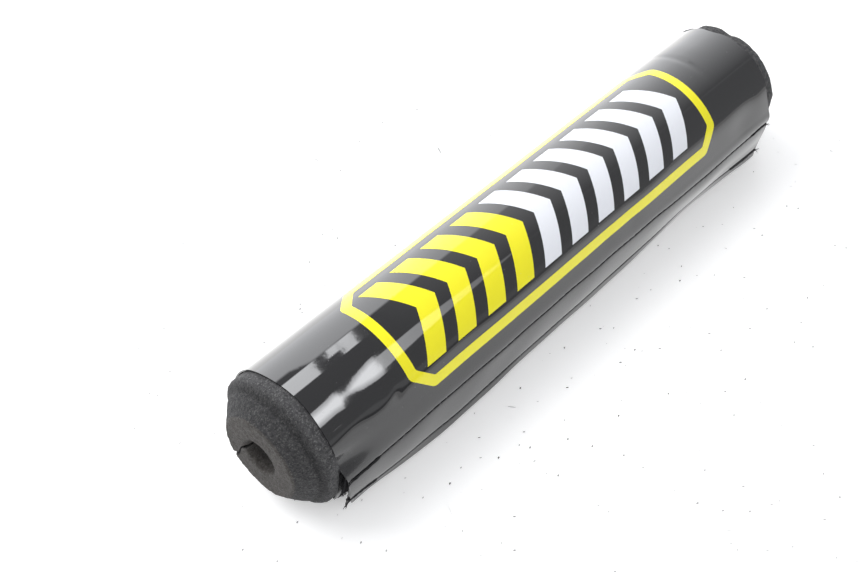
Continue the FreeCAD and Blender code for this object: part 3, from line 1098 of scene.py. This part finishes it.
def studio_world():
    """What stands round the pad: a bright wall behind it, a dim room in front, ceiling panels.

    Directions are named by x, along the pad, and by their lean from straight up, in degrees:
    plus towards the back, minus towards the front.
    """
    world = bpy.data.worlds.new("studio")
    bpy.context.scene.world = world
    world.use_nodes = True
    tree = world.node_tree
    graph = Graph(tree)
    way = tree.nodes["Texture Coordinate"].outputs["Generated"]
    parts = graph.node("SeparateXYZ", {0: way}).outputs
    x, y, z = parts["X"], parts["Y"], parts["Z"]
    lean = graph.times(graph.math("ARCTAN2", y, z), 180 / math.pi)

    both, add = graph.times, graph.plus

    def window(value, low, high, soft):
        return both(graph.ramp(value, low - soft, low + soft),
                    graph.ramp(value, high + soft, high - soft))

    def blend(factor, a, b):
        rest = graph.math("SUBTRACT", 1.0, factor)
        return add(both(rest, a), both(factor, b))

    lighter, darker = window(lean, -86, -77, 1.5), window(lean, -96, -87, 1.0)
    front = add(0.50, both(lighter, 0.25), both(darker, -0.22))
    edge = graph.ramp(x, 0.385, 0.400, 43.0, 32.5)
    past_edge = graph.ramp(graph.math("SUBTRACT", lean, edge), -1.5, 2.5)
    near_wall = add(front, both(past_edge, 3.0))
    far_wall = add(graph.ramp(lean, -30, 0, 0.55, 1.35), graph.ramp(lean, 0, 60, 0.0, 1.7))
    walls = blend(graph.ramp(x, 0.45, 0.64), near_wall, far_wall)

    near_pane = both(window(lean, 8.0, 32.0, 0.8), window(x, 0.30, 0.4015, 0.001))
    short_pane = both(window(lean, 19.0, 32.0, 1.6), window(x, 0.4120, 0.4225, 0.001))
    long_pane = both(window(lean, 9.0, 32.0, 0.8), window(x, 0.4225, 0.4345, 0.001))
    panels = graph.math("MAXIMUM", near_pane, graph.math("MAXIMUM", short_pane, long_pane))
    panels = both(panels, 6.4)
    half = graph.node("ValToRGB", {"Fac": graph.ramp(x, 0.36, 0.56)})
    # the strip's half width, in degrees of lean, at shares of the way along x
    profile = ((0.0, 12.0), (0.16, 12.0), (0.195, 14.5), (0.215, 7.0), (0.23, 2.5), (0.25, 7.0),
               (0.29, 12.0), (0.34, 15.5), (0.375, 16.0), (0.385, 10.5), (0.55, 8.5), (0.90, 1.5),
               (1.0, 0.0))
    stops = half.color_ramp.elements
    while len(stops) < len(profile):
        stops.new(0.5)
    for stop, (place, value) in zip(stops, profile):
        stop.position = place
        stop.color = grey(value / 20)
    reach = both(half.outputs["Color"], 20.0)
    middle = graph.ramp(x, 0.37, 0.47, -40.8, -32.8)
    offset = graph.math("ABSOLUTE", graph.math("SUBTRACT", lean, middle))
    inside = graph.math("SUBTRACT", reach, offset)
    core = add(5.0, both(graph.ramp(inside, 2.0, 9.0), 5.0))
    beyond = graph.ramp(x, 0.44, 0.55, 3.8, 0.9)
    shown = both(graph.ramp(inside, -0.8, 0.8), graph.ramp(x, 0.28, 0.30))
    strip = both(shown, blend(graph.ramp(x, 0.433, 0.437), core, beyond))

    shiny = add(walls, panels, strip)
    soft = add(graph.ramp(y, -0.15, 0.75, 0.42, 1.15), both(panels, 0.8), both(strip, 0.5))
    rays = graph.node("LightPath").outputs
    light = blend(rays["Is Glossy Ray"], soft, shiny)
    plain = graph.node("Background", {"Color": grey(1.0), "Strength": 1.0})
    lit = graph.node("Background", {"Color": (0.965, 0.975, 1.0, 1), "Strength": light})
    mixed = graph.node(
        "MixShader", {0: rays["Is Camera Ray"], 1: lit.outputs[0], 2: plain.outputs[0]}
    )
    tree.links.new(mixed.outputs[0], tree.nodes["World Output"].inputs["Surface"])


def lamp(name, place, size, power):
    """A soft light that faces the pad and shows in no reflection."""
    data = bpy.data.lights.new(name, "AREA")
    data.shape = "RECTANGLE"
    data.size, data.size_y = size
    data.energy = power
    obj = placed(name, data)
    obj.location = place
    obj.rotation_euler = (-Vector(place)).to_track_quat("-Z", "Y").to_euler()
    obj.visible_glossy = False


def camera():
    """The camera looks down at the pad from its near end and its closure's side."""
    data = bpy.data.cameras.new("camera")
    data.sensor_width = 36.0
    data.lens = 56.74
    data.clip_start = 0.01
    obj = placed("camera", data)
    place = Vector((-0.26722, -0.20094, 0.34238))
    forward = Vector((0.49300, 0.45601, -0.74095))
    turn = forward.to_track_quat("-Z", "Y").to_matrix().to_4x4()
    obj.matrix_world = Matrix.Translation(place) @ turn
    bpy.context.scene.camera = obj


def declare_sheets():
    """The one printed sheet, as it was cut flat, is two pieces here: front and back. This only
    lists the pieces that ride on the front, and the list is not used.
    """
    seams = [f"{thread}_thread_{place}_run" for thread in ("needle", "bobbin")
             for place in ("upper", "lower")]
    on_front = ["printed_border", "printed_yellow_chevrons", "printed_white_chevrons",
                "hook_tape_backing", "hook_tape_hooks", "thread_ends"]
    on_front += ["flap_" + seam for seam in seams]


camera()
front = cover_front()
back = cover_back()
print_border()
print_chevrons()
tape("hook", S_HINGE + HINGE_MARGIN, -SHEET - TAPE_CLEAR, -SHEET - BACKING,
     tape_hooks(1.5, 1.35), HOOK, "flap")
tape("loop", S_LOOP_TAPE, BACKING, TAPE_CLEAR, tape_loops(4200), LOOP, "cover")
seam_threads()
thread_ends()
foam_core()
declare_sheets()
floor()
studio_world()
lamp("key", (-0.35, 0.75, 0.95), (0.9, 0.7), 9.0)
lamp("fill", (-0.6, -0.5, 0.8), (0.8, 0.8), 3.0)
bpy.context.scene.view_settings.view_transform = "Standard"
